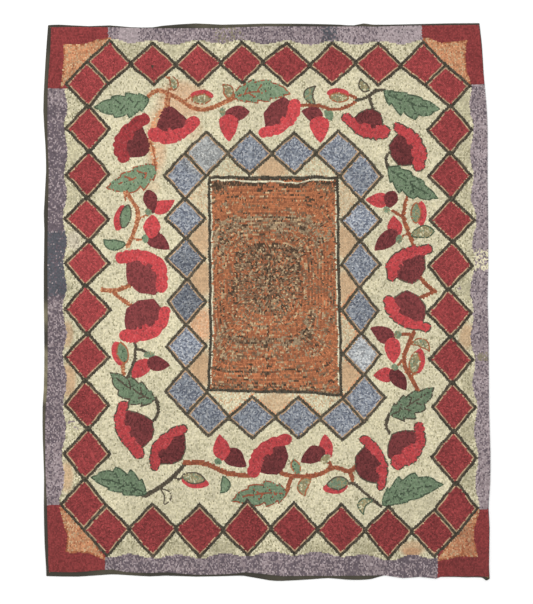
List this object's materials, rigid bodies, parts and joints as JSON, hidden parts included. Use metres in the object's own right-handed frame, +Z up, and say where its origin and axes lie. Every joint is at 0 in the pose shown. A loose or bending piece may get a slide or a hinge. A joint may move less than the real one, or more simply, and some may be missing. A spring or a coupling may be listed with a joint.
{
  "type": "hooked rug",
  "caption": "Rectangular wool hooked rug lying flat, pile side up, with a folded cloth tape sewn round its hem.",
  "frame": {"origin": "under the middle of the rug's bounding box, on the surface that it lies on", "axes": "+Z up, out of the pile; +Y along the rug's length; +X across its width, to the right when +Y points away"},
  "size_m": [1.792, 2.232, 0.0101],
  "materials": {
    "wool_pile": "short hooked wool loops in many colours",
    "binding_tape": "worn twill tape, dark grey-green"
  },
  "bodies": {
    "root": {"hooked_rug": "wool_pile", "binding_top": "binding_tape", "binding_right": "binding_tape", "binding_bottom": "binding_tape", "binding_left": "binding_tape"}
  },
  "joints": []
}
